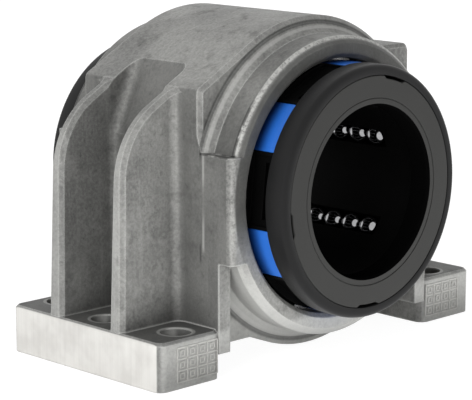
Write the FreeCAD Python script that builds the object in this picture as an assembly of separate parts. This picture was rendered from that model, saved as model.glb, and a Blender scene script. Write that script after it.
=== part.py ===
"""Pillow block with a closed linear ball bearing for a round shaft.

A die-cast housing with two flanged feet carries a closed ball bearing: a moulded
cage with six ball circuits, six hardened raceway plates, twelve return caps, and at
each end a retaining ring round a seal.

Millimetres.  X runs across the feet, Y along the shaft, Z up.  The origin is at the
middle of the mounting face, straight below the middle of the bore.
"""
import FreeCAD, Part
import math
import os

from FreeCAD import Vector

# --- Shaft and bearing -------------------------------------------------------------
shaft_d = 50.0
shaft_clearance = 0.03          # radial, between the shaft and the seal lips
bearing_d = 75.0                # over the raceway plates
bearing_length = 100.0
bearing_fit = 0.02              # radial, between the raceway plates and the housing bore
axis_height = 50.0

circuits = 6
circuit_phase = 24.0            # degrees from +X to the first circuit
ball_d = 7.14
ball_sides = 6                  # facets round one ball
ball_gap = 0.1                  # between neighbouring balls
ball_play = 0.05                # between a ball and its groove, and a ball and the shaft
track_play = 0.15               # between the balls and the sides of their track in the cage
track_mouth = 6.2               # width of the track where it opens to the shaft
row_length = 66.0               # of the loaded stretch of one circuit

plate_width = 15.0
plate_length = 60.0
plate_groove = 0.6              # depth of the ball groove
plate_play = 0.1                # round a plate in its cage window

cage_d = 73.0
cage_length = 86.0
cage_bore_d = 53.0

cap_d = 73.2
cap_width = 15.5
cap_wall = 2.4
cap_length = 10.5
cap_play = 0.1
cap_edge = 0.5

relief_width = 20.0             # of the flat recess between two caps
relief_depth = 2.0
relief_length = 7.5
slot_length = 16.0
slot_depth = 1.2
slot_width = 2.6
slot_rim = 0.3                  # cage wall between the slot and the end ring

ring_d = 73.6
ring_bore_d = 67.5
ring_edge = 1.6

seal_d = 67.3
seal_recess = 0.1               # of its face behind the end of the bearing
notch_angles = (74.0, 189.0, 268.0)     # degrees from +X, the seal's snap notches
notch_spread = 12.5             # degrees, width of one notch
notch_depth = 0.8

# --- Housing -----------------------------------------------------------------------
housing_length = 75.0           # over the two collars
collar_d = 88.0
collar_edge = 2.0
collar_flare = 3.0
bore_bevel = 1.3

arch_length = 50.0
arch_width = 89.0
arch_edge = 1.2
barrel_d = 98.0
roof_angle = 29.0               # degrees, fall of the shoulders
shoulder_edge = 2.0
web_height = 7.0                # underside of the webs above the mounting face

pad_height = 87.4               # top of the flat lubrication pad on the +X shoulder
pad_edge = 2.5

cheek_above = 13.5              # of the axis
cheek_below = 17.0

foot_span = 134.0
foot_width = 23.5
foot_length = 65.0
foot_height = 14.0
foot_corner = 3.0
foot_edge = 0.8
leg_wall = 4.5

rib_pitch = 26.4
rib_base = 6.4                  # thickness at the foot
rib_top = 3.8                   # thickness at the height of the roof
rib_reach = 66.4                # from the middle to the rib's outer edge at the foot
rib_lean = 1.6                  # inward lean of that edge up to the bend
rib_bend_radius = 23.946        # of that edge where it bends over into the roof line
rib_edge = 1.2
rib_fillet = 3.0

pocket_bend_above = 15.4        # of the axis, where the wall between the ribs starts to slope
pocket_top = 35.0               # from the middle, where that slope meets the roof

bolt_d = 9.0
corner_bolt_inset_x = 13.0      # from the outer side of a foot
corner_bolt_inset_y = 7.5       # from the end of a foot
middle_bolt_inset = 9.0         # from the outer side of a foot

# --- Values worked out from the sizes above ----------------------------------------
shaft_r = shaft_d / 2
axis = Vector(0, 0, axis_height)
along = Vector(0, 1, 0)
ball_r = ball_d / 2
ball_circle = shaft_r + ball_play + ball_r
groove_r = ball_r + ball_play
plate_r = bearing_d / 2
plate_inner = ball_circle + groove_r - plate_groove
bore_r = plate_r + bearing_fit
barrel_r = barrel_d / 2
cage_r = cage_d / 2
cage_end = cage_length / 2
bearing_end = bearing_length / 2
foot_centre = foot_span / 2 - foot_width / 2
top_height = axis_height + barrel_r
rib_draft = (rib_base - rib_top) / 2 / pad_height
tiny = 1e-4                     # for telling one edge from another


def polar(radius, degrees):
    """Point of the X-Z plane at an angle round the shaft axis."""
    turn = math.radians(degrees)
    return Vector(radius * math.cos(turn), 0, axis_height + radius * math.sin(turn))


def cylinder(radius, start, end):
    """Solid cylinder on the shaft axis."""
    return Part.makeCylinder(radius, end - start, axis + along * start, along)


def tube(outer, inner, start, end):
    """Hollow cylinder on the shaft axis."""
    return cylinder(outer, start, end).cut(cylinder(inner, start, end))


def sector(outer, inner, start, end, middle, width):
    """Piece of a tube, width degrees wide about the middle angle."""
    first = middle - width / 2
    last = middle + width / 2
    outline = [
        Part.Arc(polar(outer, first), polar(outer, middle), polar(outer, last)).toShape(),
        Part.makeLine(polar(outer, last), polar(inner, last)),
        Part.Arc(polar(inner, last), polar(inner, middle), polar(inner, first)).toShape(),
        Part.makeLine(polar(inner, first), polar(outer, first)),
    ]
    face = Part.Face(Part.Wire(outline))
    face.translate(along * start)
    return face.extrude(along * (end - start))


def revolve(points):
    """Solid of revolution about the shaft axis from (radius, y) points."""
    corners = [Vector(radius, y, axis_height) for radius, y in points]
    outline = Part.makePolygon(corners + corners[:1])
    return Part.Face(outline).revolve(axis, along, 360)


def box(x0, x1, y0, y1, z0, z1):
    """Box between two corners."""
    return Part.makeBox(x1 - x0, y1 - y0, z1 - z0, Vector(x0, y0, z0))


def prism(points, y0, y1):
    """Prism along Y from an outline of (x, z) points with an optional corner radius."""
    wire = rounded_wire([(Vector(p[0], y0, p[1]), p[2] if len(p) > 2 else 0.0) for p in points])
    return Part.Face(wire).extrude(Vector(0, y1 - y0, 0))


def rounded_wire(corners):
    """Closed wire through (point, radius) corners, each rounded by a tangent arc."""
    stops = []
    count = len(corners)
    for i, (point, radius) in enumerate(corners):
        if radius <= 0:
            stops.append((point, None, point))
            continue
        back = (corners[i - 1][0] - point).normalize()
        ahead = (corners[(i + 1) % count][0] - point).normalize()
        half = back.getAngle(ahead) / 2
        trim = radius / math.tan(half)
        bisector = (back + ahead).normalize()
        centre = point + bisector * (radius / math.sin(half))
        stops.append((point + back * trim, centre - bisector * radius, point + ahead * trim))
    edges = []
    for i, (start, middle, end) in enumerate(stops):
        if middle is not None:
            edges.append(Part.Arc(start, middle, end).toShape())
        following = stops[(i + 1) % count][0]
        if end.distanceToPoint(following) > tiny:
            edges.append(Part.makeLine(end, following))
    return Part.Wire(edges)


# --- Housing -----------------------------------------------------------------------
def roof_touch():
    """(x, z) where the sloping shoulder leaves the barrel."""
    slope = math.radians(roof_angle)
    return barrel_r * math.sin(slope), axis_height + barrel_r * math.cos(slope)


def roof_height(x):
    """Height of the sloping shoulder at a distance x from the middle."""
    touch_x, touch_z = roof_touch()
    return touch_z - (x - touch_x) * math.tan(math.radians(roof_angle))


def arch():
    """Middle block: barrel, sloping shoulder on -X, flat pad on +X, webs below."""
    half = arch_width / 2
    touch_x, touch_z = roof_touch()
    pad_x = math.sqrt(barrel_r ** 2 - (pad_height - axis_height) ** 2)
    block = prism([
        (-half, web_height),
        (-half, roof_height(half), shoulder_edge),
        (-touch_x, touch_z),
        (0, axis_height),
        (pad_x, pad_height),
        (half, pad_height, pad_edge),
        (half, web_height),
    ], -arch_length / 2, arch_length / 2)
    return block.fuse(cylinder(barrel_r, -arch_length / 2, arch_length / 2)).removeSplitter()


def cheeks():
    """Flat-sided block that carries the flanks on to the ends of the collars, level with the bore."""
    half = arch_width / 2
    z0 = axis_height - cheek_below
    z1 = axis_height + cheek_above
    end = housing_length / 2
    corners = [(-half, -end), (half, -end), (half, end), (-half, end)]
    wire = rounded_wire([(Vector(x, y, z0), collar_edge) for x, y in corners])
    return Part.Face(wire).extrude(Vector(0, 0, z1 - z0))


def legs():
    """Thin walls that carry the flanks down to the ends of the feet."""
    half = arch_width / 2
    pieces = []
    for side in (-1, 1):
        inner = side * (half - leg_wall)
        outer = side * half
        x0 = min(inner, outer)
        x1 = max(inner, outer)
        pieces.append(box(x0, x1, -foot_length / 2, foot_length / 2, web_height, axis_height - cheek_below))
    return pieces


def collars():
    """Round collar over the whole housing, flared where it leaves the middle block."""
    end = housing_length / 2
    root = arch_length / 2
    outer = collar_d / 2
    near = [
        (0, -end),
        (outer - collar_edge, -end),
        (outer, -end + collar_edge),
        (outer, -root - collar_flare),
        (outer + collar_flare, -root),
    ]
    far = [(radius, -y) for radius, y in reversed(near)]
    return revolve(near + far)


def foot(side):
    """One flange with rounded corners, its upper edge softened."""
    x0 = side * foot_centre - foot_width / 2
    x1 = side * foot_centre + foot_width / 2
    half = foot_length / 2
    corners = [(x0, -half), (x1, -half), (x1, half), (x0, half)]
    wire = rounded_wire([(Vector(x, y, 0), foot_corner) for x, y in corners])
    body = Part.Face(wire).extrude(Vector(0, 0, foot_height))
    rims = [e for e in body.Edges if e.BoundBox.ZMin > foot_height - tiny]
    return body.makeChamfer(foot_edge, rims)


def rib(side, y):
    """Tall bracing rib: thicker at the foot, bent over the shoulder, coved into the flank."""
    low = foot_height - foot_edge
    crown = roof_height(arch_width / 2)
    bend = rib_reach - rib_lean
    bend_z = crown - (bend - arch_width / 2) * math.tan(math.radians(roof_angle))
    root = arch_width / 2 - leg_wall
    outline = prism([
        (side * rib_reach, low),
        (side * bend, bend_z, rib_bend_radius),
        (side * arch_width / 2, crown),
        (side * root, crown),
        (side * root, low),
    ], y - rib_base - rib_fillet, y + rib_base + rib_fillet)
    body = rib_half(side, -1).fuse(rib_half(side, 1))
    body.translate(Vector(0, y, 0))
    body = body.common(outline)
    return body.makeChamfer(rib_edge, [e for e in body.Edges if is_outer_rim(e, side, y)])


def rib_half(side, face):
    """Half the thickness of a rib, with the cove of its root, leaning in by the draft."""
    flank = arch_width / 2
    half = rib_base / 2
    turn = rib_fillet * (1 - math.sqrt(0.5))

    def spot(x, reach):
        return Vector(side * x, face * reach, 0)

    plan = [
        Part.makePolygon([
            spot(flank, half + rib_fillet),
            spot(flank - leg_wall, half + rib_fillet),
            spot(flank - leg_wall, 0),
            spot(foot_span / 2, 0),
            spot(foot_span / 2, half),
            spot(flank + rib_fillet, half),
        ]),
        Part.Arc(
            spot(flank + rib_fillet, half),
            spot(flank + turn, half + turn),
            spot(flank, half + rib_fillet),
        ).toShape(),
    ]
    body = Part.Face(Part.Wire(plan)).extrude(Vector(0, 0, top_height))
    body.rotate(Vector(0, face * half, 0), Vector(1, 0, 0), face * math.degrees(math.atan(rib_draft)))
    return body


def is_outer_rim(edge, side, y):
    """True for the long edges of a rib that face outward."""
    span = edge.BoundBox
    middle = edge.CenterOfMass
    along_rib = span.YLength < rib_top / 2
    outward = side * middle.x > arch_width / 2 + rib_fillet
    return outward and along_rib and span.ZLength > rib_fillet and middle.z > foot_height


def pocket_cutter():
    """Takes the -X shoulder away between the ribs, down a sloping wall coved into them."""
    flank = arch_width / 2
    low = axis_height + pocket_bend_above
    slope = (roof_height(pocket_top) - low) / (flank - pocket_top)
    outline = [
        (-flank, low),
        (-flank + (top_height - low) / slope, top_height),
        (-foot_span, top_height),
        (-foot_span, low),
    ]
    space = prism(outline, -rib_pitch / 2, rib_pitch / 2)
    space = space.cut([rib_wedge(-1, end * rib_pitch / 2) for end in (-1, 1)])
    return space.makeFillet(rib_fillet, [e for e in space.Edges if is_slope_side(e)])


def is_slope_side(edge):
    """True for the two edges of the pocket where its sloping wall meets the ribs."""
    ends = [v.Point for v in edge.Vertexes]
    rises = edge.BoundBox.ZLength > rib_fillet
    return rises and min(p.x for p in ends) > -arch_width / 2 - tiny


def rib_wedge(side, y):
    """The plain tapering thickness of a rib, from the shaft axis outward."""
    low = rib_base / 2
    high = low - rib_draft * top_height
    points = [
        Vector(0, y - low, 0),
        Vector(0, y + low, 0),
        Vector(0, y + high, top_height),
        Vector(0, y - high, top_height),
    ]
    return Part.Face(Part.makePolygon(points + points[:1])).extrude(Vector(side * foot_span, 0, 0))


def bolt_places():
    """Centres of the six bolt holes."""
    corner_x = foot_span / 2 - corner_bolt_inset_x
    corner_y = foot_length / 2 - corner_bolt_inset_y
    middle_x = foot_span / 2 - middle_bolt_inset
    places = []
    for side in (-1, 1):
        places += [(side * corner_x, -corner_y), (side * middle_x, 0.0), (side * corner_x, corner_y)]
    return places


def bolt_cutters():
    """Through holes of the feet."""
    return [Part.makeCylinder(bolt_d / 2, foot_height, Vector(x, y, 0)) for x, y in bolt_places()]


def bore_cutter():
    """Bearing seat with a bevel at each end."""
    end = housing_length / 2
    profile = [
        (0, -end),
        (bore_r + bore_bevel, -end),
        (bore_r, -end + bore_bevel),
        (bore_r, end - bore_bevel),
        (bore_r + bore_bevel, end),
        (0, end),
    ]
    return revolve(profile)


def core():
    """Everything between the two flanks, with the rims of the middle block softened."""
    half = arch_width / 2
    end = housing_length / 2
    body = arch().fuse([cheeks(), collars()] + legs())
    body = body.common(box(-half, half, -end, end, 0, top_height)).removeSplitter()
    return body.makeChamfer(arch_edge, [e for e in body.Edges if is_arch_rim(e)])


def is_arch_rim(edge):
    """True for the outer edges of the middle block's two ends, above the cheeks."""
    span = edge.BoundBox
    middle = edge.CenterOfMass
    on_end = abs(abs(middle.y) - arch_length / 2) < tiny and span.YLength < tiny
    outside = math.hypot(middle.x, middle.z - axis_height) > collar_d / 2 + collar_flare + arch_edge
    return on_end and outside and span.ZMin > axis_height


def housing():
    """The whole casting with its bore and bolt holes."""
    ribs = [rib(side, end * rib_pitch / 2) for side in (-1, 1) for end in (-1, 1)]
    feet = [foot(side) for side in (-1, 1)]
    body = core().fuse(ribs + feet).removeSplitter()
    return body.cut([bore_cutter(), pocket_cutter()] + bolt_cutters())


# --- Bearing -----------------------------------------------------------------------
def circuit_angles():
    """Angles of the ball circuits round the shaft, in degrees from +X."""
    return [circuit_phase + i * 360 / circuits for i in range(circuits)]


def turned(shape, degrees):
    """The shape turned about the shaft axis, from the +X side to an angle."""
    copy = shape.copy()
    copy.rotate(axis, along, -degrees)
    return copy


def raceway_plate():
    """Hardened plate on the +X side: crowned back, flat sides, grooved for the balls."""
    half = plate_length / 2
    width = plate_width / 2
    block = box(plate_inner, plate_r, -half, half, axis_height - width, axis_height + width)
    start = Vector(ball_circle, -half, axis_height)
    groove = Part.makeCylinder(groove_r, plate_length, start, along)
    return block.common(cylinder(plate_r, -half, half)).cut(groove)


def plate_window():
    """Opening in the cage for one plate on the +X side."""
    half = plate_length / 2 + plate_play
    width = plate_width / 2 + plate_play
    return box(plate_inner - plate_play, plate_r, -half, half, axis_height - width, axis_height + width)


def ball_track():
    """Straight track through the cage for one loaded row, its mouth narrower than a ball."""
    half = row_length / 2
    width = ball_r + track_play
    mouth = track_mouth / 2
    wide = box(ball_circle, plate_r, -half, half, axis_height - width, axis_height + width)
    return wide.fuse(box(0, plate_r, -half, half, axis_height - mouth, axis_height + mouth))


def faceted_ball():
    """One ball as a faceted solid at the origin, its poles along Y."""
    rings = []
    belts = ball_sides // 2
    for i in range(1, belts):
        tilt = math.pi * i / belts
        height = ball_r * math.cos(tilt)
        reach = ball_r * math.sin(tilt)
        turns = [2 * math.pi * k / ball_sides for k in range(ball_sides)]
        rings.append([Vector(reach * math.cos(t), height, reach * math.sin(t)) for t in turns])
    faces = []
    for k in range(ball_sides):
        after = (k + 1) % ball_sides
        faces.append(facet(Vector(0, ball_r, 0), rings[0][k], rings[0][after]))
        faces.append(facet(Vector(0, -ball_r, 0), rings[-1][after], rings[-1][k]))
        for upper, lower in zip(rings, rings[1:]):
            faces.append(facet(upper[k], lower[k], lower[after], upper[after]))
    return Part.Solid(Part.Shell(faces))


def facet(*points):
    """Flat face through the points."""
    return Part.Face(Part.makePolygon(list(points) + [points[0]]))


def ball_row():
    """Loaded balls of one circuit, in line on the +X side."""
    pitch = ball_d + ball_gap
    count = int(row_length / pitch)
    ball = faceted_ball()
    row = []
    for i in range(count):
        copy = ball.copy()
        copy.translate(Vector(ball_circle, (i - (count - 1) / 2) * pitch, axis_height))
        row.append(copy)
    return Part.makeCompound(row)


def end_block(back, width, length):
    """Block on the +X side from a flat back out past the cage, centred on the cage end."""
    return box(back, cap_d, -length, 0, axis_height - width / 2, axis_height + width / 2)


def return_cap(angle, end):
    """Cap that turns the balls round at one end of a circuit: crowned, with a flat back."""
    back = cap_d / 2 - cap_wall
    body = cylinder(cap_d / 2, -cap_length, 0).common(end_block(back, cap_width, cap_length))
    body = body.makeChamfer(cap_edge, [e for e in body.Edges if is_cap_rim(e)])
    body.translate(along * cage_end)
    return mirrored(turned(body, angle), end)


def is_cap_rim(edge):
    """True for the two outer edges of a cap that run along the shaft."""
    span = edge.BoundBox
    return span.YLength > cap_length - tiny and span.XMin > cap_d / 2 - cap_wall + tiny


def cap_window(angle, end):
    """Opening in the cage for one return cap."""
    back = cap_d / 2 - cap_wall - cap_play
    body = end_block(back, cap_width + 2 * cap_play, cap_length + cap_play)
    body.translate(along * cage_end)
    return mirrored(turned(body, angle), end)


def relief_cutter(angle, end):
    """Flat recess between two caps, with a slot in its floor."""
    floor = cage_r - relief_depth
    body = end_block(floor, relief_width, relief_length)
    slot = end_block(floor - slot_depth, slot_length, slot_width)
    slot.translate(along * -slot_rim)
    body = body.fuse(slot)
    body.translate(along * cage_end)
    return mirrored(turned(body, angle), end)


def ball_cage():
    """Moulded cage: plate windows, ball tunnels, cap windows and the recesses between."""
    cutters = []
    window = plate_window()
    track = ball_track()
    for angle in circuit_angles():
        cutters += [turned(window, angle), turned(track, angle)]
        for end in (-1, 1):
            cutters.append(cap_window(angle, end))
            cutters.append(relief_cutter(angle + 180 / circuits, end))
    return tube(cage_r, cage_bore_d / 2, -cage_end, cage_end).cut(cutters)


def mirrored(shape, end):
    """The shape as it stands at the +Y end, or its mirror image at the -Y end."""
    return shape if end > 0 else shape.mirror(Vector(0, 0, 0), along)


def end_ring():
    """Retaining ring at the +Y end, against the end of the cage, with a bevelled rim."""
    outer = ring_d / 2
    inner = ring_bore_d / 2
    return revolve([
        (inner, cage_end),
        (outer, cage_end),
        (outer, bearing_end - ring_edge),
        (outer - ring_edge, bearing_end),
        (inner, bearing_end),
    ])


def end_seal():
    """Disc inside the +Y ring, notched where the ring snaps on, sealing against the shaft."""
    outer = seal_d / 2
    face = bearing_end - seal_recess
    notches = []
    for angle in notch_angles:
        notches.append(sector(seal_d, outer - notch_depth, cage_end, face, angle, notch_spread))
    return tube(outer, shaft_r + shaft_clearance, cage_end, face).cut(notches)


# --- Output ------------------------------------------------------------------------
def parts():
    """Every sub-part by name."""
    nodes = {"housing": housing(), "ball_cage": ball_cage()}
    plate = raceway_plate()
    row = ball_row()
    for i, angle in enumerate(circuit_angles(), start=1):
        nodes[f"raceway_plate_{i}"] = turned(plate, angle)
        nodes[f"ball_row_{i}"] = turned(row, angle)
        nodes[f"return_cap_front_{i}"] = return_cap(angle, -1)
        nodes[f"return_cap_rear_{i}"] = return_cap(angle, 1)
    for name, end in (("front", -1), ("rear", 1)):
        nodes[f"end_ring_{name}"] = mirrored(end_ring(), end)
        nodes[f"end_seal_{name}"] = mirrored(end_seal(), end)
    return nodes


def main():
    """Write one STEP file for each sub-part."""
    os.makedirs("parts", exist_ok=True)
    for name, shape in parts().items():
        shape.exportStep(f"parts/{name}.step")


main()
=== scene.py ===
"""Looks of a pillow block with a closed linear ball bearing: its finishes, its moulded
and polished pieces, and the stage they stand on.

Metres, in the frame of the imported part: X across the feet, Y along the shaft, Z up.
"""
import math

import bmesh
import bpy
from mathutils import Matrix, Vector


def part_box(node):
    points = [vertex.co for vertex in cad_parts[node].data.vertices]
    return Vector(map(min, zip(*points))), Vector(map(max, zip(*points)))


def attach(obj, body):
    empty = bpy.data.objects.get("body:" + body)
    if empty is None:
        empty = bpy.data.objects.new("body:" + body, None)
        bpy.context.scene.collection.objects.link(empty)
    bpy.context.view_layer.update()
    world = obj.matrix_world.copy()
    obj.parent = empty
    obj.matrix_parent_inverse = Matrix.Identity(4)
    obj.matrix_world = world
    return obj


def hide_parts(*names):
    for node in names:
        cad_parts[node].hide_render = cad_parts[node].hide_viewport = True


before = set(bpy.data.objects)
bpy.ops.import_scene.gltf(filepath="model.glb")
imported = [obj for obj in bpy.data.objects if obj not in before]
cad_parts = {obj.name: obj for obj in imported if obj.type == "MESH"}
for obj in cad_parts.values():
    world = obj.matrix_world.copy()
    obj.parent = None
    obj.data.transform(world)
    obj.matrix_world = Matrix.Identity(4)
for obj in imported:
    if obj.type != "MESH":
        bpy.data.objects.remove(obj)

bl_info = {
    "name": "Linear Bearing Block",
    "version": (1, 0, 0),
    "blender": (4, 5, 0),
    "location": "3D View > Sidebar > Bearing Block",
    "description": "Dresses a cast pillow block and its linear ball bearing",
    "category": "Object",
}

MM = 0.001
NEAR = 1e-6  # closer than this, two places are one
CIRCUITS = range(1, 7)
ENDS = {"front": -1, "rear": 1}

# --- Places and sizes that the frame gives -----------------------------------------
ring_low, ring_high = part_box("end_ring_rear")
seal_low, seal_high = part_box("end_seal_rear")
cage_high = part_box("ball_cage")[1]
housing_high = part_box("housing")[1]
AXIS_HEIGHT = (ring_low.z + ring_high.z) / 2
SHAFT_AXIS = Vector((0, 0, AXIS_HEIGHT))
RING_RADIUS = (ring_high.x - ring_low.x) / 2
SEAL_RADIUS = (seal_high.x - seal_low.x) / 2
BEARING_END = ring_high.y
SEAL_FACE = seal_high.y
CAGE_END = cage_high.y
FOOT_REACH = housing_high.x
HOUSING_END = housing_high.y

# --- Sizes of the casting inside its box -------------------------------------------
FOOT_TOP = 14.0 * MM
FOOT_END = 32.5 * MM
BOLT_RADIUS = 4.5 * MM
CORNER_BOLT = (FOOT_REACH - 13.0 * MM, FOOT_END - 7.5 * MM)
MIDDLE_BOLT = (FOOT_REACH - 9.0 * MM, 0)
ARCH_END = 25.0 * MM
ARCH_SIDE = 44.5 * MM
RIB_OUT = 55.0 * MM  # only the outer edges of the ribs stand further out above the feet
COLLAR_RADIUS = 44.0 * MM
COLLAR_FLARE = 3.0 * MM
CHEEK_TOP = AXIS_HEIGHT + 13.5 * MM
CHEEK_FOOT = AXIS_HEIGHT - 17.0 * MM
SEAM_TOP = AXIS_HEIGHT + 34.0 * MM


# --- Shader building ---------------------------------------------------------------
class Value:
    """A shader socket on which arithmetic adds Math nodes."""

    def __init__(self, tree, socket):
        self.tree = tree
        self.socket = socket

    def math(self, operation, *terms):
        """A Math node of this operation on the terms."""
        return self.tree.add("ShaderNodeMath", {"operation": operation}, dict(enumerate(terms)))

    def __add__(self, other):
        return self.math("ADD", self, other)

    def __sub__(self, other):
        return self.math("SUBTRACT", self, other)

    def __rsub__(self, other):
        return self.math("SUBTRACT", other, self)

    def __mul__(self, other):
        return self.math("MULTIPLY", self, other)

    def __pow__(self, other):
        return self.math("POWER", self, other)

    def __abs__(self):
        return self.math("ABSOLUTE", self)

    __radd__ = __add__
    __rmul__ = __mul__

    def fade(self, low, high):
        """0 at low and 1 at high, with a smooth step between; low may be the larger."""
        settings = {"interpolation_type": "SMOOTHSTEP"}
        return self.tree.add("ShaderNodeMapRange", settings, {0: self, 1: low, 2: high})

    def band(self, middle, half):
        """1 at the middle, fading to 0 at half either side."""
        return 1 - abs(self - middle).fade(half * 0.4, half)


class Nodes:
    """A node tree built up node by node."""

    def __init__(self, tree):
        self.nodes = tree.nodes
        self.links = tree.links

    def add(self, kind, settings=None, inputs=None, output=0):
        """A node with its settings made first, then its sockets filled or linked."""
        node = self.nodes.new(kind)
        for name, value in (settings or {}).items():
            setattr(node, name, value)
        for socket, value in (inputs or {}).items():
            if isinstance(value, Value):
                self.links.new(value.socket, node.inputs[socket])
            else:
                node.inputs[socket].default_value = value
        return Value(self, node.outputs[output])

    def feed(self, node, socket, value):
        """Link a value to a socket of one of the tree's own first nodes."""
        self.links.new(value.socket, self.nodes[node].inputs[socket])

    def rays(self, *kinds):
        """For each kind of ray, a value that is 1 for rays of that kind."""
        return [self.add("ShaderNodeLightPath", output=f"Is {kind} Ray") for kind in kinds]

    def parts(self, vector):
        """The three parts of a vector."""
        return [self.add("ShaderNodeSeparateXYZ", {}, {0: vector}, i) for i in range(3)]


class Finish(Nodes):
    """A material built up round one Principled BSDF."""

    def __init__(self, name, sockets):
        self.material = bpy.data.materials.new(name)
        self.material.use_nodes = True
        super().__init__(self.material.node_tree)
        self.surface = self.nodes["Principled BSDF"]
        for socket, value in sockets.items():
            self.surface.inputs[socket].default_value = value
        self.place = self.add("ShaderNodeTexCoord", output="Object")
        self.facing = self.add("ShaderNodeTexCoord", output="Normal")
        self.x, self.y, self.z = self.parts(self.place)
        self.tone = None

    def give(self, socket, value):
        """Feed one socket of the surface."""
        self.feed("Principled BSDF", socket, value)

    def paint(self, tone):
        """Make this the surface's colour."""
        self.tone = tone
        self.give("Base Color", tone)

    def coat(self, share, colour):
        """Lay a colour over the surface by a share."""
        self.paint(self.blend(share, self.tone, rgb(colour)))

    def blend(self, share, first, second):
        """Colour going from the first to the second by a share."""
        inputs = {0: share, 6: first, 7: second}
        return self.add("ShaderNodeMix", {"data_type": "RGBA", "clamp_factor": True}, inputs, 2)

    def noise(self, scale, detail, roughness, place=None):
        """Fractal noise over the surface, 0 to 1."""
        inputs = {
            "Vector": place or self.place, "Scale": scale, "Detail": detail, "Roughness": roughness,
        }
        return self.add("ShaderNodeTexNoise", {}, inputs)

    def stretched(self, x, y, z):
        """The place on the surface, squeezed or stretched along each axis."""
        return self.add("ShaderNodeMapping", {}, {"Vector": self.place, "Scale": (x, y, z)})

    def hollow(self, distance):
        """1 deep in a corner or pocket, 0 out in the open."""
        settings = {"samples": 8, "only_local": True}
        return 1 - self.add("ShaderNodeAmbientOcclusion", settings, {"Distance": distance}, "AO")

    def softened(self, radius, samples):
        """Normal with the edges rounded off."""
        return self.add("ShaderNodeBevel", {"samples": samples}, {"Radius": radius})

    def bump(self, height, strength, distance, normal):
        """Normal that follows a height over the surface."""
        inputs = {"Height": height, "Strength": strength, "Distance": distance, "Normal": normal}
        return self.add("ShaderNodeBump", {}, inputs)


def rgb(colour):
    """A property's colour with full alpha."""
    return (*colour, 1.0)


# --- Finishes ----------------------------------------------------------------------
CAST_METAL = {"Metallic": 0.25, "Specular IOR Level": 0.3}


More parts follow.
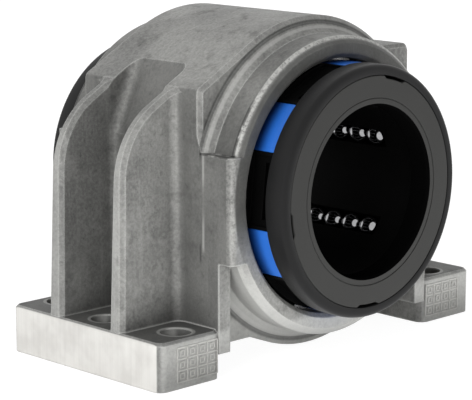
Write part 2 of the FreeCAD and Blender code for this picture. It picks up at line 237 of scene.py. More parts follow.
class CastAluminium(Finish):
    """Blasted die casting: mottled grey, with painted shade in its corners and pockets, painted light
    on its undersides, and wear and painted highlights on its edges.
    """

    def __init__(self, looks):
        super().__init__("cast_aluminium", CAST_METAL)
        self.looks = looks
        self.across = abs(self.x)
        self.along = abs(self.y)
        rise = self.z - AXIS_HEIGHT
        self.from_axis = (self.x * self.x + rise * rise) ** 0.5
        facing_x, facing_y, self.facing_z = self.parts(self.facing)
        self.facing_end = abs(facing_y)
        self.upright = 1 - abs(self.facing_z).fade(0.45, 0.75)
        self.on_foot = 1 - self.z.fade(FOOT_TOP - 1.5 * MM, FOOT_TOP + 1.0 * MM)
        self.sideways = abs(facing_x).fade(0.7, 0.95) * (1 - self.on_foot)
        self.upper = self.z.fade(AXIS_HEIGHT - 25.0 * MM, AXIS_HEIGHT)
        self.milled = (self.across - FOOT_REACH).fade(-0.45 * MM, -0.2 * MM)
        self.cloud = self.noise(scale=45, detail=4.0, roughness=0.62).fade(0.36, 0.66)
        self.blotch = self.noise(scale=170, detail=3.0, roughness=0.6).fade(0.54, 0.72)
        self.speck = self.noise(scale=480, detail=2.0, roughness=0.6).fade(0.6, 0.72)
        self.grain = self.noise(scale=1100, detail=3.0, roughness=0.75)
        drawn_out = self.stretched(650, 650, 16)
        self.streak = self.noise(scale=1.0, detail=3.0, roughness=0.65, place=drawn_out)
        self.soft = self.softened(looks.edge_round, samples=6)
        self.edge = self.edges()
        self.seam = self.seams()
        self.mottle()
        self.paint_shade_and_darken_feet()
        self.paint_light_and_wear()
        self.paint_collar_light_and_shade()
        self.mill()
        self.roughen()

    def edges(self):
        """1 on an edge, where the rounded normal leaves the true one."""
        sharp = self.add("ShaderNodeNewGeometry", output="Normal")
        settings = {"operation": "DOT_PRODUCT"}
        alike = self.add("ShaderNodeVectorMath", settings, {0: self.soft, 1: sharp}, "Value")
        return (1 - alike).fade(0.004, 0.12)

    def seams(self):
        """Broken seam along the tops of the cheeks and up the edges of the collars."""
        broken = self.noise(scale=230, detail=2.0, roughness=0.6).fade(0.36, 0.5)
        level = abs(self.z - CHEEK_TOP).fade(0.42 * MM, 0.2 * MM)
        level = level * self.along.fade(ARCH_END - 0.3 * MM, ARCH_END)
        level = level * self.across.fade(COLLAR_RADIUS - 8.0 * MM, COLLAR_RADIUS - 5.0 * MM)
        level = level * self.along.fade(HOUSING_END - 1.2 * MM, HOUSING_END - 1.8 * MM)
        curved = abs(self.along - (HOUSING_END - 2.2 * MM)).fade(0.6 * MM, 0.3 * MM)
        curved = curved * self.from_axis.band(COLLAR_RADIUS, 0.9 * MM)
        curved = curved * self.z.fade(CHEEK_TOP - 1.0 * MM, CHEEK_TOP)
        curved = curved * self.z.fade(SEAM_TOP, SEAM_TOP - 6.0 * MM)
        return (level + curved) * broken

    def mottle(self):
        """Clouds, grain and specks of the blasting, and faint streaks down the walls."""
        looks = self.looks
        share = self.cloud * 0.5 + self.grain.fade(0.3, 0.7) * 0.5
        self.paint(self.blend(share, rgb(looks.dark_grey), rgb(looks.light_grey)))
        self.coat(self.blotch * 0.35 + self.speck * 0.3, looks.stain_and_shade)
        self.coat(self.upright * self.streak.fade(0.5, 0.8) * 0.2, looks.wear_and_highlight_grey)
        self.coat(self.upright * self.streak.fade(0.48, 0.2) * 0.18, looks.stain_and_shade)

    def paint_shade_and_darken_feet(self):
        """Painted shade in the corners and pockets and on the walls between the ribs; darker on top
        of the feet.
        """
        looks = self.looks
        # Painted shade: darker where ambient occlusion finds a corner or pocket.
        self.coat(self.hollow(looks.shade_reach).fade(0.1, 0.8) * looks.corner_shade, looks.stain_and_shade)
        foot_top = abs(self.z - FOOT_TOP).fade(1.2 * MM, 0.6 * MM) * self.facing_z.fade(0.7, 0.95)
        wall = self.sideways * self.across.fade(ARCH_SIDE + 2.0 * MM, ARCH_SIDE + 1.0 * MM)
        # Painted shade on the walls between the ribs; the tops of the feet are only made darker.
        self.coat(foot_top * 0.75 + wall * 0.6, looks.stain_and_shade)

    def paint_light_and_wear(self):
        """Painted light on the outer faces of the ribs, the undersides and the ends of the feet; wear
        and painted highlights on the edges; light rims round the bolt holes.
        """
        looks = self.looks
        # Painted light: lighter outer faces of the ribs, and lighter undersides as if lit from the
        # table below.
        rib_edge = self.sideways * self.across.fade(RIB_OUT - 1.0 * MM, RIB_OUT + 1.0 * MM)
        underside = (0 - self.facing_z).fade(0.05, 0.6)
        self.coat(rib_edge * 0.25 + underside * 0.7, looks.wear_and_highlight_grey)
        # Edges: partly rubbed wear, partly painted highlight.
        self.coat(self.edge * (0.6 + self.grain * 0.4), looks.wear_and_highlight_grey)
        # Painted light: the ends of the feet made lighter, as if lit from the table in front.
        foot_end = self.on_foot * self.facing_end.fade(0.6, 0.9)
        self.coat(foot_end * (0.35 + self.grain * 0.5), looks.wear_and_highlight_grey)
        self.coat(self.hole_rims() * 0.45, looks.wear_and_highlight_grey)

    def hole_rims(self):
        """Bright broken edge round each bolt hole in the feet."""
        rims = 0
        for x, y in (CORNER_BOLT, MIDDLE_BOLT):
            across = self.across - x
            along = self.along - y
            distance = (across * across + along * along) ** 0.5
            rims = rims + distance.band(BOLT_RADIUS + 0.5 * MM, 0.7 * MM)
        return rims * abs(self.z - FOOT_TOP).fade(0.6 * MM, 0.3 * MM)

    def paint_collar_light_and_shade(self):
        """Painted shade round the collars' bores and in the foot of their flare, darker upper sides,
        painted highlights on their front edges and in their flare, and their seams.
        """
        looks = self.looks
        # Painted shade: dark round the bore at each collar's end.
        rim = self.from_axis.fade(COLLAR_RADIUS - 0.6 * MM, COLLAR_RADIUS - 1.5 * MM)
        rim = rim * self.along.fade(HOUSING_END - 1.6 * MM, HOUSING_END - 1.1 * MM)
        # Darker on the upper sides of the collars.
        side = self.from_axis.fade(COLLAR_RADIUS + 0.6 * MM, COLLAR_RADIUS + 0.3 * MM)
        side = side * self.along.fade(ARCH_END + 2.6 * MM, ARCH_END + 3.4 * MM)
        side = side * self.facing_end.fade(0.3, 0.1)
        self.coat((rim * (0.7 + self.cloud * 0.25) + side * 0.3) * self.upper, looks.stain_and_shade)
        middle, half = (CHEEK_TOP + CHEEK_FOOT) / 2, (CHEEK_TOP - CHEEK_FOOT) / 2
        cheek = abs(self.z - middle).fade(half + 0.3 * MM, half)
        # Painted highlight along the outer edge of each collar's front.
        edge = self.from_axis.fade(COLLAR_RADIUS - 1.1 * MM, COLLAR_RADIUS - 0.6 * MM)
        edge = edge * self.along.fade(HOUSING_END - 2.2 * MM, HOUSING_END - 1.9 * MM)
        edge = edge * self.upper * (1 - cheek * 0.8)
        highlighted = edge * (0.15 + self.grain.fade(0.35, 0.6) * 0.75)
        # Painted highlight: a light line in the flare.
        flare_highlight = self.along.band(ARCH_END + 1.3 * MM, 0.6 * MM)
        flare_highlight = flare_highlight * self.from_axis.band(COLLAR_RADIUS + 1.7 * MM, 1.4 * MM)
        self.coat(highlighted + flare_highlight * 0.4, looks.wear_and_highlight_grey)
        # Painted shade: a dark line at the foot of the flare, laid with the real seams.
        flare_foot = self.along.band(ARCH_END + 0.15 * MM, 0.5 * MM)
        flare_foot = flare_foot * self.from_axis.band(COLLAR_RADIUS + COLLAR_FLARE, 1.2 * MM)
        self.coat(flare_foot * 0.6 + self.seam * 0.75, looks.seam_and_shade_dark)

    def mill(self):
        """Bright milled outer sides of the feet, wiped and drawn upwards."""
        wiped = self.noise(scale=90, detail=3.0, roughness=0.6).fade(0.3, 0.65)
        share = wiped * 0.6 + self.streak.fade(0.3, 0.7) * 0.25 + self.grain * 0.15
        bright = self.blend(share, rgb(self.looks.milled_shade), rgb(self.looks.milled_grey))
        self.paint(self.blend(self.milled, self.tone, bright))

    def roughen(self):
        """Gloss and relief of the blasted and the milled metal."""
        rough = 0.5 + self.blotch * 0.12 - self.edge * 0.12 - self.milled * 0.1 + self.grain * 0.06
        self.give("Roughness", rough)
        relief = self.grain * 0.8 + self.streak * 0.3 + self.cloud * 0.3 - self.speck * 0.3
        relief = relief * (1 - self.milled * 0.7) - self.seam
        self.give("Normal", self.bump(relief, strength=0.45, distance=0.3 * MM, normal=self.soft))


def raised_lines(looks):
    """Rubbed metal of the fine raised lines on the feet."""
    finish = Finish("raised_lines", CAST_METAL)
    grain = finish.noise(scale=900, detail=3.0, roughness=0.7)
    finish.paint(finish.blend(grain, rgb(looks.light_grey), rgb(looks.milled_grey)))
    finish.give("Roughness", 0.45 + grain * 0.15)
    return finish


def moulded(name, colour, roughness, grain_scale, specular):
    """Injection-moulded plastic with a fine eroded grain."""
    finish = Finish(name, {"Specular IOR Level": specular})
    grain = finish.noise(scale=grain_scale, detail=2.0, roughness=0.6)
    drift = finish.noise(scale=55, detail=3.0, roughness=0.5)
    pale = tuple(min(1.0, part * 1.5 + 0.001) for part in colour)
    finish.paint(finish.blend(drift * 0.6 + grain * 0.3, rgb(colour), rgb(pale)))
    finish.give("Roughness", roughness + (grain - 0.5) * 0.12 + (drift - 0.5) * 0.15)
    soft = finish.softened(0.25 * MM, samples=4)
    finish.give("Normal", finish.bump(grain, strength=0.18, distance=0.08 * MM, normal=soft))
    return finish


def cap_plastic(looks):
    """Blue moulding, with painted shade where it goes in under the casting."""
    finish = moulded("cap_blue", looks.blue, roughness=0.36, grain_scale=900, specular=0.4)
    # Painted shade: the cap darkens towards the casting's end.
    out = abs(finish.y).fade(HOUSING_END - 0.6 * MM, HOUSING_END + looks.cap_shade)
    finish.paint(finish.blend(out, rgb(looks.shaded_blue), finish.tone))
    return finish


def polished_steel(name, colour, roughness):
    """Hardened steel, ground along the shaft."""
    finish = Finish(name, {"Metallic": 1.0})
    ground = finish.stretched(1800, 60, 1800)
    lines = finish.noise(scale=1.0, detail=2.0, roughness=0.6, place=ground)
    darker = tuple(part * 0.8 for part in colour)
    finish.paint(finish.blend(lines, rgb(colour), rgb(darker)))
    finish.give("Roughness", roughness + lines * 0.1)
    return finish


# --- Modelling helpers -------------------------------------------------------------
def dress(node, finish):
    """Give a node of the frame a finish."""
    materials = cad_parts[node].data.materials
    materials.clear()
    materials.append(finish.material)


def new_piece(name, mesh, slot, finishes, *replaced):
    """Finish a bmesh into an object that rides on the block and stands for its nodes."""
    bmesh.ops.recalc_face_normals(mesh, faces=mesh.faces)
    piece = new_object(name, mesh, finishes)
    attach(piece, "root")
    if replaced:
        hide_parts(*replaced)


def new_object(name, mesh, finishes):
    """Turn a bmesh into an object of the scene."""
    data = bpy.data.meshes.new(name)
    mesh.to_mesh(data)
    mesh.free()
    for finish in finishes:
        data.materials.append(finish.material)
    piece = bpy.data.objects.new(name, data)
    bpy.context.scene.collection.objects.link(piece)
    return piece


def smooth_by_angle(mesh, degrees):
    """Smooth faces, with edges that turn more than an angle kept sharp."""
    limit = math.radians(degrees)
    for face in mesh.faces:
        face.smooth = True
    for edge in mesh.edges:
        edge.smooth = len(edge.link_faces) == 2 and edge.calc_face_angle(0) < limit


def spun(mesh, profile, angle=2 * math.pi, steps=144):
    """Closed (radius, y) profile spun round the shaft axis from the +X side."""
    corners = [mesh.verts.new((radius, y, AXIS_HEIGHT)) for radius, y in profile]
    edges = [mesh.edges.new((a, b)) for a, b in zip(corners, corners[1:] + corners[:1])]
    whole = angle >= 2 * math.pi
    geometry = corners + edges
    if not whole:
        geometry.append(mesh.faces.new(corners))
    bmesh.ops.spin(
        mesh, geom=geometry, cent=SHAFT_AXIS, axis=(0, 1, 0), angle=angle, steps=steps,
        use_merge=whole, use_duplicate=False,
    )


def rounded(mesh, edges, size, segments):
    """Round off some edges."""
    bmesh.ops.bevel(
        mesh, geom=list(edges), offset=size, offset_type="OFFSET", segments=segments,
        profile=0.5, affect="EDGES", clamp_overlap=True, material=-1,
    )


def circles(mesh, radius, y):
    """Edges of one circle about the shaft axis."""
    found = []
    for edge in mesh.edges:
        if all(abs(v.co.y - y) < NEAR and abs(reach(v) - radius) < NEAR for v in edge.verts):
            found.append(edge)
    return found


def reach(vertex):
    """Distance of a vertex from the shaft axis."""
    return math.hypot(vertex.co.x, vertex.co.z - AXIS_HEIGHT)


def round_axis(place):
    """Angle of a place round the shaft axis, from the +X side up."""
    return math.atan2(place.z - AXIS_HEIGHT, place.x)


def turn(mesh, angle, end=1):
    """Turn a mesh made on the +X side to its angle, and flip it to the -Y end if asked."""
    about = (
        Matrix.Translation(SHAFT_AXIS)
        @ Matrix.Rotation(-angle, 4, "Y")
        @ Matrix.Translation(-SHAFT_AXIS)
    )
    flip = Matrix.Diagonal((1, end, 1, 1))
    bmesh.ops.transform(mesh, matrix=flip @ about, verts=mesh.verts)


# --- Settings ----------------------------------------------------------------------
class CastingLooks(bpy.types.PropertyGroup):
    """Finish of the casting."""

    dark_grey: bpy.props.FloatVectorProperty(
        name="Dark grey", description="Darker tone of the blasted casting",
        subtype="COLOR", size=3, min=0, max=1, default=(0.15, 0.15, 0.145))
    light_grey: bpy.props.FloatVectorProperty(
        name="Light grey", description="Lighter tone of the blasted casting",
        subtype="COLOR", size=3, min=0, max=1, default=(0.34, 0.34, 0.325))
    # This tone is both the die's blotches and specks and the painted shade in corners, between the
    # ribs and round the collars' bores; it also darkens the foot tops and the collars' sides.
    stain_and_shade: bpy.props.FloatVectorProperty(
        name="Stain", description="Tone of the dirt and of the blotches left by the die",
        subtype="COLOR", size=3, min=0, max=1, default=(0.07, 0.07, 0.067))
    # This tone is both rubbed wear and painted light: highlights on edges and in the collars' flares,
    # and light on undersides, rib faces and the ends of the feet.
    wear_and_highlight_grey: bpy.props.FloatVectorProperty(
        name="Edge grey", description="Tone of rubbed edges",
        subtype="COLOR", size=3, min=0, max=1, default=(0.52, 0.52, 0.5))
    milled_grey: bpy.props.FloatVectorProperty(
        name="Milled grey", description="Tone of the milled sides of the feet",
        subtype="COLOR", size=3, min=0, max=1, default=(0.72, 0.71, 0.68))
    milled_shade: bpy.props.FloatVectorProperty(
        name="Milled shade", description="Darker grain of the milled sides of the feet",
        subtype="COLOR", size=3, min=0, max=1, default=(0.56, 0.545, 0.52))
    # This tone is both the die's seams and the painted shade at the foot of each collar's flare.
    seam_and_shade_dark: bpy.props.FloatVectorProperty(
        name="Flash dark", description="Tone of the seams left by the die",
        subtype="COLOR", size=3, min=0, max=1, default=(0.03, 0.03, 0.029))
    # Painted shade: how far the darkening spreads out of a corner.
    shade_reach: bpy.props.FloatProperty(
        name="Corner reach", description="How far the dirt spreads out of a corner",
        subtype="DISTANCE", unit="LENGTH", min=0, default=16 * MM)
    # Painted shade: how dark the corners and pockets are made.
    corner_shade: bpy.props.FloatProperty(
        name="Corner dirt", description="How dark the corners and pockets are",
        min=0, max=1, default=0.75)
    edge_round: bpy.props.FloatProperty(
        name="Edge rounding", description="Radius that softens the casting's edges",
        subtype="DISTANCE", unit="LENGTH", min=0, default=0.9 * MM)


class BearingLooks(bpy.types.PropertyGroup):
    """Sizes and finish of the bearing's visible pieces."""

    black: bpy.props.FloatVectorProperty(
        name="Black", description="Colour of the end rings",
        subtype="COLOR", size=3, min=0, max=1, default=(0.007, 0.007, 0.0072))
    # Near-black used as painted shade: it darkens the black cage further and covers the seals' lips,
    # so the bore reads dark.
    bore_shade_black: bpy.props.FloatVectorProperty(
        name="Bore black", description="Colour of the cage and of the seals' lips",
        subtype="COLOR", size=3, min=0, max=1, default=(0.001, 0.001, 0.001))
    seal_grey: bpy.props.FloatVectorProperty(
        name="Seal grey", description="Colour of the seal discs",
        subtype="COLOR", size=3, min=0, max=1, default=(0.024, 0.024, 0.023))
    blue: bpy.props.FloatVectorProperty(
        name="Blue", description="Colour of the return caps",
        subtype="COLOR", size=3, min=0, max=1, default=(0.010, 0.085, 0.35))
    # Painted shade: colour of a cap next to the casting.
    shaded_blue: bpy.props.FloatVectorProperty(
        name="Deep blue", description="Colour of the return caps where they go in under the casting",
        subtype="COLOR", size=3, min=0, max=1, default=(0.004, 0.03, 0.14))
    plate_steel: bpy.props.FloatVectorProperty(
        name="Plate steel", description="Colour of the raceway plates",
        subtype="COLOR", size=3, min=0, max=1, default=(0.5, 0.5, 0.5))
    ball_steel: bpy.props.FloatVectorProperty(
        name="Ball steel", description="Colour of the polished balls",
        subtype="COLOR", size=3, min=0, max=1, default=(0.42, 0.42, 0.43))
    # Painted shade: width over which it fades along a cap.
    cap_shade: bpy.props.FloatProperty(
        name="Cap shade", description="Width over which a cap lightens outside the casting",
        subtype="DISTANCE", unit="LENGTH", min=0, default=3.2 * MM)
    ring_round: bpy.props.FloatProperty(
        name="Ring rounding", description="Radius of the rim of an end ring",
        subtype="DISTANCE", unit="LENGTH", min=0, default=1.6 * MM)
    groove_radius: bpy.props.FloatProperty(
        name="Seal groove", description="Radius of the fine groove in a seal's face",
        subtype="DISTANCE", unit="LENGTH", min=0, default=27.2 * MM)
    lip_bore: bpy.props.FloatProperty(
        name="Seal opening", description="Radius of a seal's opening in its outer face",
        subtype="DISTANCE", unit="LENGTH", min=0, default=25.6 * MM)
    shaft_bore: bpy.props.FloatProperty(
        name="Lip bore", description="Radius of a seal's lip against the shaft",
        subtype="DISTANCE", unit="LENGTH", min=0, default=25.03 * MM)
    ball_diameter: bpy.props.FloatProperty(
        name="Ball", description="Diameter of a ball",
        subtype="DISTANCE", unit="LENGTH", min=0, default=7.14 * MM)
    balls: bpy.props.IntProperty(
        name="Balls", description="Loaded balls in one row", min=1, default=9)


class StageLooks(bpy.types.PropertyGroup):
    """Camera and light."""

    lens: bpy.props.FloatProperty(
        name="Lens", description="Focal length of the camera",
        subtype="DISTANCE_CAMERA", min=1, default=154.9)
    stand: bpy.props.FloatVectorProperty(
        name="Camera", description="Where the camera stands",
        subtype="TRANSLATION", unit="LENGTH", size=3,
        default=(-428.8 * MM, -430.6 * MM, 160.6 * MM))
    tilt: bpy.props.FloatProperty(
        name="Tilt", description="How far the camera looks down",
        subtype="ANGLE", default=math.radians(11.16))
    swing: bpy.props.FloatProperty(
        name="Swing", description="Turn of the camera from +Y towards +X",
        subtype="ANGLE", default=math.radians(44.49))
    key: bpy.props.FloatProperty(
        name="Key light", description="Power of the soft light from the -X side",
        unit="POWER", min=0, default=8.0)
    back: bpy.props.FloatProperty(
        name="Back light", description="Power of the soft light from behind",
        unit="POWER", min=0, default=4.5)
    table: bpy.props.FloatProperty(
        name="Table light", description="Power of the light off the table in front",
        unit="POWER", min=0, default=0.85)
    sky: bpy.props.FloatProperty(
        name="Sky", description="Strength of the even light from all round",
        min=0, default=0.34)


# --- Operators ---------------------------------------------------------------------
class BlockOperator:
    """What every operator shares."""

    bl_options = {"REGISTER", "UNDO"}


class CASTING_OT_finish(BlockOperator, bpy.types.Operator):
    """Give the casting its blasted and milled finish, with painted shade and painted light"""

    bl_idname = "bearing_block.casting"
    bl_label = "Casting"

    def execute(self, context):
        dress("housing", CastAluminium(context.scene.casting_looks))
        return {"FINISHED"}


class CASTING_OT_grids(BlockOperator, bpy.types.Operator):
    """Model the blank date grids raised on the ends of the feet"""

    bl_idname = "bearing_block.grids"
    bl_label = "Date grids"

    columns, rows = 4, 3
    left, right = 45.2 * MM, 60.5 * MM
    bottom, top = 2.0 * MM, 11.8 * MM
    line = 0.3 * MM
    square = 1.5 * MM
    height = 0.22 * MM

    def execute(self, context):
        finish = raised_lines(context.scene.casting_looks)
        width = self.right - self.left
        rise = self.top - self.bottom
        for name, side in (("left", -1), ("right", 1)):
            mesh = bmesh.new()
            for i in range(self.columns + 1):
                x = self.left + width * i / self.columns
                self.bar(mesh, side * x, (self.bottom + self.top) / 2, self.line, rise)
            for i in range(self.rows + 1):
                z = self.bottom + rise * i / self.rows
                self.bar(mesh, side * (self.left + self.right) / 2, z, width, self.line)
            for i in range(self.columns * self.rows):
                column, row = i % self.columns, i // self.columns
                x = self.left + width * (column + 0.5) / self.columns
                z = self.bottom + rise * (row + 0.5) / self.rows
                self.mark(mesh, side * x, z)
            new_piece(f"date_grid_{name}", mesh, "cast_housing", [finish])
        return {"FINISHED"}

    def mark(self, mesh, x, z):
        """Small plain square frame inside one cell."""
        half = self.square / 2
        for shift in (-half, half):
            self.bar(mesh, x + shift, z, self.line, self.square + self.line)
            self.bar(mesh, x, z + shift, self.square, self.line)

    def bar(self, mesh, x, z, width, rise):
        """One raised line of the grid, half sunk into the end of the foot."""
        place = Matrix.Translation((x, -FOOT_END, z))
        size = Matrix.Diagonal((width, 2 * self.height, rise, 1))
        bmesh.ops.create_cube(mesh, size=1, matrix=place @ size)


class BEARING_OT_core(BlockOperator, bpy.types.Operator):
    """Give the cage and the raceway plates their finish"""

    bl_idname = "bearing_block.core"
    bl_label = "Cage and plates"

    def execute(self, context):
        looks = context.scene.bearing_looks
        # The cage is black plastic, made near-black and barely reflecting as painted shade, so the
        # bore reads dark.
        black = moulded(
            "cage_black_and_shade", looks.bore_shade_black, roughness=0.42, grain_scale=700, specular=0.06)
        dress("ball_cage", black)
        steel = polished_steel("raceway_steel", looks.plate_steel, roughness=0.22)
        for i in CIRCUITS:
            dress(f"raceway_plate_{i}", steel)
        return {"FINISHED"}


class BEARING_OT_rings(BlockOperator, bpy.types.Operator):
    """Model the two end rings with their rounded rims"""

    bl_idname = "bearing_block.rings"
    bl_label = "End rings"

    seal_gap = 0.1 * MM
    small_round = 0.25 * MM

    def execute(self, context):
        looks = context.scene.bearing_looks
        black = moulded("ring_black", looks.black, roughness=0.42, grain_scale=900, specular=0.17)
        inner = SEAL_RADIUS + self.seal_gap
        for name, end in ENDS.items():
            mesh = bmesh.new()
            spun(mesh, [
                (inner, CAGE_END),
                (RING_RADIUS, CAGE_END),
                (RING_RADIUS, BEARING_END),
                (inner, BEARING_END),
            ])
            rounded(mesh, circles(mesh, RING_RADIUS, BEARING_END), looks.ring_round, segments=6)
            rounded(mesh, circles(mesh, inner, BEARING_END), self.small_round, segments=2)
            rounded(mesh, circles(mesh, RING_RADIUS, CAGE_END), self.small_round, segments=2)
            turn(mesh, 0, end)
            smooth_by_angle(mesh, degrees=40)
            new_piece(f"end_ring_{name}_moulding", mesh, "end_ring", [black], f"end_ring_{name}")
        return {"FINISHED"}


class BEARING_OT_seals(BlockOperator, bpy.types.Operator):
    """Model the two seal discs with their lips and snap notches"""

    bl_idname = "bearing_block.seals"
    bl_label = "End seals"

    notches = (74.0, 189.0, 268.0)  # degrees round the axis
    notch_spread = 12.5  # degrees
    notch_depth = 0.8 * MM
    rim = 0.2 * MM
    groove_depth = 0.25 * MM
    groove_floor = 0.08 * MM
    groove_outside = 0.15 * MM
    groove_inside = 0.2 * MM
    step = 0.05 * MM
    lip_edge = 0.1 * MM
    lip_fall = 1.0 * MM

    def execute(self, context):
        looks = context.scene.bearing_looks
        grey = moulded(
            "seal_grey", looks.seal_grey, roughness=0.45, grain_scale=800, specular=0.2)
        # Painted shade: a near-black, dull moulding for the faces inside each seal's opening.
        black = moulded(
            "bore_shade_black", looks.bore_shade_black, roughness=0.9, grain_scale=700, specular=0.0)
        groove = looks.groove_radius
        opening = looks.lip_bore
        for name, end in ENDS.items():
            mesh = bmesh.new()
            spun(mesh, [
                (looks.shaft_bore, CAGE_END),
                (SEAL_RADIUS, CAGE_END),
                (SEAL_RADIUS, SEAL_FACE - self.rim),
                (SEAL_RADIUS - self.rim, SEAL_FACE),
                (groove + self.groove_outside, SEAL_FACE),
                (groove + self.groove_floor, SEAL_FACE - self.groove_depth),
                (groove - self.groove_floor, SEAL_FACE - self.groove_depth),
                (groove - self.groove_inside, SEAL_FACE - self.step),
                (opening, SEAL_FACE - self.step),
                (opening - self.lip_edge, SEAL_FACE - self.groove_depth),
                (looks.shaft_bore, SEAL_FACE - self.lip_fall),
            ], steps=180)
            self.cut_notches(mesh)
            turn(mesh, 0, end)
            smooth_by_angle(mesh, degrees=32)
            # Painted shade: faces inside the opening take the second, near-black moulding.
            for face in mesh.faces:
                face.material_index = int(max(map(reach, face.verts)) < opening + NEAR)
            new_piece(
                f"end_seal_{name}_moulding", mesh, "end_seal", [grey, black], f"end_seal_{name}")
        return {"FINISHED"}

    def cut_notches(self, mesh):
        """Draw the rim inwards over the width of each notch."""
        for vertex in mesh.verts:
            if reach(vertex) < SEAL_RADIUS - self.rim - NEAR:
                continue
            angle = math.degrees(round_axis(vertex.co)) % 360
            if any(abs(angle - middle) < self.notch_spread / 2 for middle in self.notches):
                inward = (SHAFT_AXIS - Vector((vertex.co.x, 0, vertex.co.z))).normalized()
                vertex.co += inward * self.notch_depth


class BEARING_OT_balls(BlockOperator, bpy.types.Operator):
    """Model the rows of polished balls"""

    bl_idname = "bearing_block.balls"
    bl_label = "Balls"

    def execute(self, context):
        looks = context.scene.bearing_looks
        steel = polished_steel("ball_steel", looks.ball_steel, roughness=0.04)
        radius = looks.ball_diameter / 2
        for i in CIRCUITS:
            low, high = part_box(f"ball_row_{i}")
            middle = (low + high) / 2
            pitch = (high.y - low.y - 2 * radius) / (looks.balls - 1)
            mesh = bmesh.new()
            for k in range(looks.balls):
                place = Vector((middle.x, (k - (looks.balls - 1) / 2) * pitch, middle.z))
                bmesh.ops.create_uvsphere(
                    mesh, u_segments=24, v_segments=14, radius=radius,
                    matrix=Matrix.Translation(place),
                )
            smooth_by_angle(mesh, degrees=60)
            new_piece(f"ball_row_{i}_polished", mesh, "ball", [steel], f"ball_row_{i}")
        return {"FINISHED"}


class BEARING_OT_caps(BlockOperator, bpy.types.Operator):
    """Model the blue return caps with their rounded edges"""

    bl_idname = "bearing_block.caps"
    bl_label = "Return caps"

    outer = 36.6 * MM
    wall = 2.4 * MM
    spread = math.radians(24.5)
    edge_round = 0.35 * MM
    sharp = math.radians(50)

    def execute(self, context):
        blue = cap_plastic(context.scene.bearing_looks)
        inner = self.outer - self.wall
        for name, end in ENDS.items():
            for i in CIRCUITS:
                node = f"return_cap_{name}_{i}"
                low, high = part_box(node)
                start = CAGE_END - (high.y - low.y)
                mesh = bmesh.new()
                spun(mesh, [
                    (inner, start),
                    (self.outer, start),
                    (self.outer, CAGE_END),
                    (inner, CAGE_END),
                ], angle=self.spread, steps=12)
                turn(mesh, self.spread / 2)
                sides = [edge for edge in mesh.edges if edge.calc_face_angle(0) > self.sharp]
                rounded(mesh, sides, self.edge_round, segments=3)
                turn(mesh, round_axis((low + high) / 2), end)
                smooth_by_angle(mesh, degrees=40)
                new_piece(f"{node}_moulding", mesh, "return_cap", [blue], node)
        return {"FINISHED"}


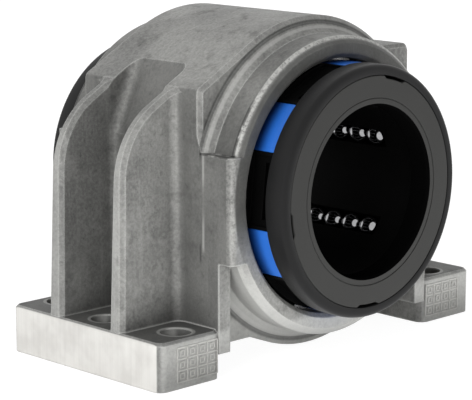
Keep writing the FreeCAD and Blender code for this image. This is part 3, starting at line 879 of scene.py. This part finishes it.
class STAGE_OT_build(BlockOperator, bpy.types.Operator):
    """Set up the floor, the lights and the camera"""

    bl_idname = "bearing_block.stage"
    bl_label = "Stage"

    floor_half = 6.0
    floor_glow = 1.18
    floor_clear = 0.8
    key_place = Vector((-0.88, -0.17, 0.44))
    back_place = Vector((0.75, 0.5, 0.7))
    panel = (0.7, 0.7)
    table_place = Vector((0.0, -0.19, 0.002))
    table_panel = (0.5, 0.29)

    def execute(self, context):
        looks = context.scene.stage_looks
        self.floor()
        self.sky(context.scene, looks.sky)
        self.lamp("key_light", self.key_place, SHAFT_AXIS, self.panel, looks.key)
        self.lamp("back_light", self.back_place, SHAFT_AXIS, self.panel, looks.back)
        above = self.table_place + Vector((0, 0, 1))
        self.lamp("table_light", self.table_place, above, self.table_panel, looks.table)
        self.camera(context.scene, looks)
        context.scene.view_settings.view_transform = "Standard"
        return {"FINISHED"}

    def floor(self):
        """Wide pale floor that shows white to the camera and keeps a soft shadow."""
        finish = Finish("pale_floor", {"Base Color": (0.9, 0.9, 0.9, 1), "Roughness": 0.9})
        pale = Value(finish, finish.surface.outputs[0])
        white = finish.add("ShaderNodeEmission", {}, {"Strength": self.floor_glow})
        camera, glossy, transmission = finish.rays("Camera", "Glossy", "Transmission")
        share = (camera + glossy + transmission) * self.floor_clear
        mixed = finish.add("ShaderNodeMixShader", {}, {0: share, 1: pale, 2: white})
        finish.feed("Material Output", "Surface", mixed)
        mesh = bmesh.new()
        bmesh.ops.create_grid(mesh, x_segments=1, y_segments=1, size=self.floor_half)
        floor = new_object("floor", mesh, [finish])

    def sky(self, scene, strength):
        """Even light from all round, white where it is seen or mirrored."""
        world = bpy.data.worlds.new("studio")
        world.use_nodes = True
        nodes = Nodes(world.node_tree)
        camera, glossy = nodes.rays("Camera", "Glossy")
        seen = camera.math("MAXIMUM", camera, glossy)
        inputs = {"Value": seen, "To Min": strength, "To Max": 1.0}
        nodes.feed("Background", "Strength", nodes.add("ShaderNodeMapRange", {}, inputs))
        nodes.nodes["Background"].inputs["Color"].default_value = (1, 1, 1, 1)
        scene.world = world

    def lamp(self, name, place, target, size, power):
        """Soft light panel aimed at a point, out of the camera's sight."""
        data = bpy.data.lights.new(name, "AREA")
        data.shape = "RECTANGLE"
        data.size, data.size_y = size
        data.energy = power
        lamp = bpy.data.objects.new(name, data)
        lamp.location = place
        lamp.visible_camera = False
        lamp.visible_glossy = False
        lamp.rotation_euler = (target - place).to_track_quat("-Z", "Y").to_euler()
        bpy.context.scene.collection.objects.link(lamp)

    def camera(self, scene, looks):
        """Long lens from the -X, -Y side, a little above the bearing."""
        data = bpy.data.cameras.new("camera")
        data.lens = looks.lens
        data.sensor_width = 36
        data.clip_start = 0.01
        camera = bpy.data.objects.new("camera", data)
        camera.location = looks.stand
        camera.rotation_euler = (math.pi / 2 - looks.tilt, 0, -looks.swing)
        scene.collection.objects.link(camera)
        scene.camera = camera


class BEARING_PT_block(bpy.types.Panel):
    """The pieces of the block and their settings."""

    bl_label = "Bearing Block"
    bl_idname = "BEARING_PT_block"
    bl_space_type = "VIEW_3D"
    bl_region_type = "UI"
    bl_category = "Bearing Block"

    def draw(self, context):
        for settings in SETTINGS:
            looks = getattr(context.scene, settings)
            group = self.layout.box()
            for name in looks.bl_rna.properties.keys():
                if name not in ("rna_type", "name"):
                    group.prop(looks, name)
        for operator in OPERATORS:
            self.layout.operator(operator.bl_idname)


SETTINGS = {
    "casting_looks": CastingLooks,
    "bearing_looks": BearingLooks,
    "stage_looks": StageLooks,
}
OPERATORS = (
    CASTING_OT_finish, CASTING_OT_grids, BEARING_OT_core, BEARING_OT_rings, BEARING_OT_seals,
    BEARING_OT_balls, BEARING_OT_caps, STAGE_OT_build,
)
CLASSES = (*SETTINGS.values(), *OPERATORS, BEARING_PT_block)


def register():
    """Register the classes and hang the settings on the scene."""
    for kind in CLASSES:
        bpy.utils.register_class(kind)
    for name, kind in SETTINGS.items():
        setattr(bpy.types.Scene, name, bpy.props.PointerProperty(type=kind))


def unregister():
    """Take the settings and the classes away again."""
    for name in SETTINGS:
        delattr(bpy.types.Scene, name)
    for kind in reversed(CLASSES):
        bpy.utils.unregister_class(kind)


def main():
    """Build every piece."""
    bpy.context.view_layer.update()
    register()
    bpy.ops.bearing_block.casting()
    bpy.ops.bearing_block.grids()
    bpy.ops.bearing_block.core()
    bpy.ops.bearing_block.rings()
    bpy.ops.bearing_block.seals()
    bpy.ops.bearing_block.balls()
    bpy.ops.bearing_block.caps()
    bpy.ops.bearing_block.stage()


if __name__ == "__main__":
    main()
